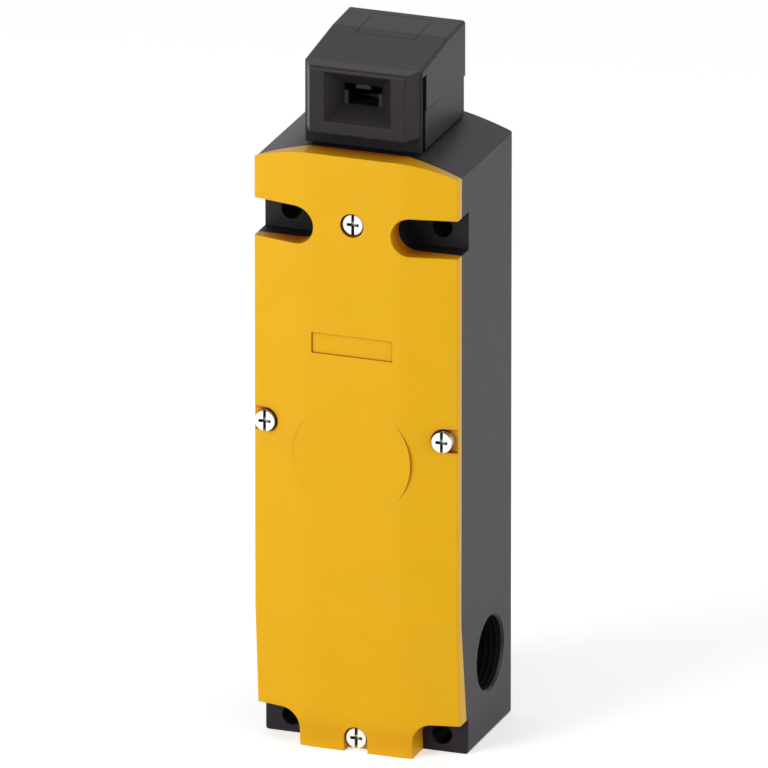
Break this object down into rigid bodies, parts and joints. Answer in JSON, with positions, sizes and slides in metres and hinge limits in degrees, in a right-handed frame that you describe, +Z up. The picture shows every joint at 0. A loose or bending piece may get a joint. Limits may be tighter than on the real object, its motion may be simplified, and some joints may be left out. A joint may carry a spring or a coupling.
{
  "type": "tongue interlock switch",
  "caption": "Guard-door interlock switch with a narrow moulded case, a turnable head with a tongue slot, a cam wheel and plunger, and a solenoid-driven lock.",
  "frame": {"origin": "middle of the footprint, on the underside of the case", "axes": "+Z up to the head, +Y towards the mounting wall, +X to the right seen from the cover"},
  "size_m": [0.054, 0.0434, 0.184],
  "materials": {
    "black_case_plastic": "fine moulded grain, satin",
    "black_head_plastic": "fine moulded grain, satin",
    "yellow_cover_plastic": "smooth moulded, satin",
    "bright_steel": "zinc plated",
    "ground_steel": "ground and hardened",
    "mild_steel": "zinc plated pressing",
    "spring_wire": "drawn stainless wire",
    "copper_winding": "enamelled copper wire under clear tape",
    "contact_brass": "stamped brass",
    "contact_silver": "silver plated",
    "black_oxide_steel": "hardened, black oxide",
    "white_nylon": "moulded nylon",
    "grey_block_plastic": "glass filled, matt",
    "green_terminal_plastic": "moulded polyamide",
    "sintered_bronze": "oil filled sintered bronze",
    "seal_rubber": "moulded nitrile rubber"
  },
  "bodies": {
    "housing": {"housing": "black_case_plastic", "cover": "yellow_cover_plastic", "cover_gasket": "seal_rubber", "cover_screws": "bright_steel", "guide_bush": "sintered_bronze", "lever_pin": "ground_steel", "lever_bracket": "mild_steel", "coil_yoke": "mild_steel", "coil_bobbin": "white_nylon", "coil_winding": "copper_winding", "coil_stop": "mild_steel", "coil_terminal_block": "green_terminal_plastic", "coil_terminal_screws": "bright_steel", "plunger_spring": "spring_wire", "armature_spring": "spring_wire", "tongue_block_body": "grey_block_plastic", "tongue_block_contacts": "contact_brass", "tongue_block_terminal_screws": "bright_steel", "tongue_block_spring": "spring_wire", "lock_block_body": "grey_block_plastic", "lock_block_contacts": "contact_brass", "lock_block_terminal_screws": "bright_steel", "lock_block_spring": "spring_wire"},
    "head": {"head_body": "black_head_plastic", "head_front_guide": "black_head_plastic", "head_top_plug": "black_head_plastic", "head_base": "black_head_plastic", "neck_seal": "seal_rubber", "head_screws": "bright_steel", "cam_axle": "ground_steel"},
    "cam": {"cam_wheel": "black_oxide_steel"},
    "plunger": {"plunger": "ground_steel", "plunger_arm": "grey_block_plastic"},
    "tongue_carrier": {"tongue_block_carrier": "white_nylon", "tongue_block_bridges": "contact_silver"},
    "lock_lever": {"lock_lever": "ground_steel"},
    "armature": {"armature": "ground_steel", "armature_arm": "grey_block_plastic"},
    "lock_carrier": {"lock_block_carrier": "white_nylon", "lock_block_bridges": "contact_silver"},
    "head_lock": {"head_lock_slider": "bright_steel"}
  },
  "joints": [
    {"name": "head_swivel", "type": "hinge", "parent": "housing", "child": "head", "pos_m": [0, 0.00243, 0.16], "axis": [0, 0, 1], "continuous": true},
    {"name": "cam_turn", "type": "hinge", "parent": "head", "child": "cam", "pos_m": [0, 0.00243, 0.17], "axis": [-1, 0, 0], "range_deg": [0, 60]},
    {"name": "plunger_lift", "type": "slide", "parent": "housing", "child": "plunger", "axis": [0, 0, 1], "range_m": [0, 0.003], "deforming": ["plunger_spring"]},
    {"name": "tongue_contacts_travel", "type": "slide", "parent": "housing", "child": "tongue_carrier", "axis": [0, 0, 1], "range_m": [0, 0.003], "deforming": ["tongue_block_spring"]},
    {"name": "lock_lever_swing", "type": "hinge", "parent": "housing", "child": "lock_lever", "pos_m": [0, 0.00243, 0.10411], "axis": [0, -1, 0], "range_deg": [0, 17.46]},
    {"name": "armature_stroke", "type": "slide", "parent": "housing", "child": "armature", "axis": [0, 0, 1], "range_m": [0, 0.00322], "deforming": ["armature_spring"]},
    {"name": "lock_contacts_travel", "type": "slide", "parent": "housing", "child": "lock_carrier", "axis": [0, 0, 1], "range_m": [0, 0.00322], "deforming": ["lock_block_spring"]},
    {"name": "head_lock_slide", "type": "slide", "parent": "housing", "child": "head_lock", "axis": [0, -1, 0], "range_m": [0, 0.0035]}
  ],
  "couplings": [
    {"joint": "cam_turn", "follows": "armature_stroke", "rad_per_m": 324.78},
    {"joint": "plunger_lift", "follows": "armature_stroke", "ratio": 0.93043},
    {"joint": "tongue_contacts_travel", "follows": "armature_stroke", "ratio": 0.93043},
    {"joint": "lock_lever_swing", "follows": "armature_stroke", "rad_per_m": 94.499},
    {"joint": "lock_contacts_travel", "follows": "armature_stroke", "ratio": 0.99999}
  ]
}
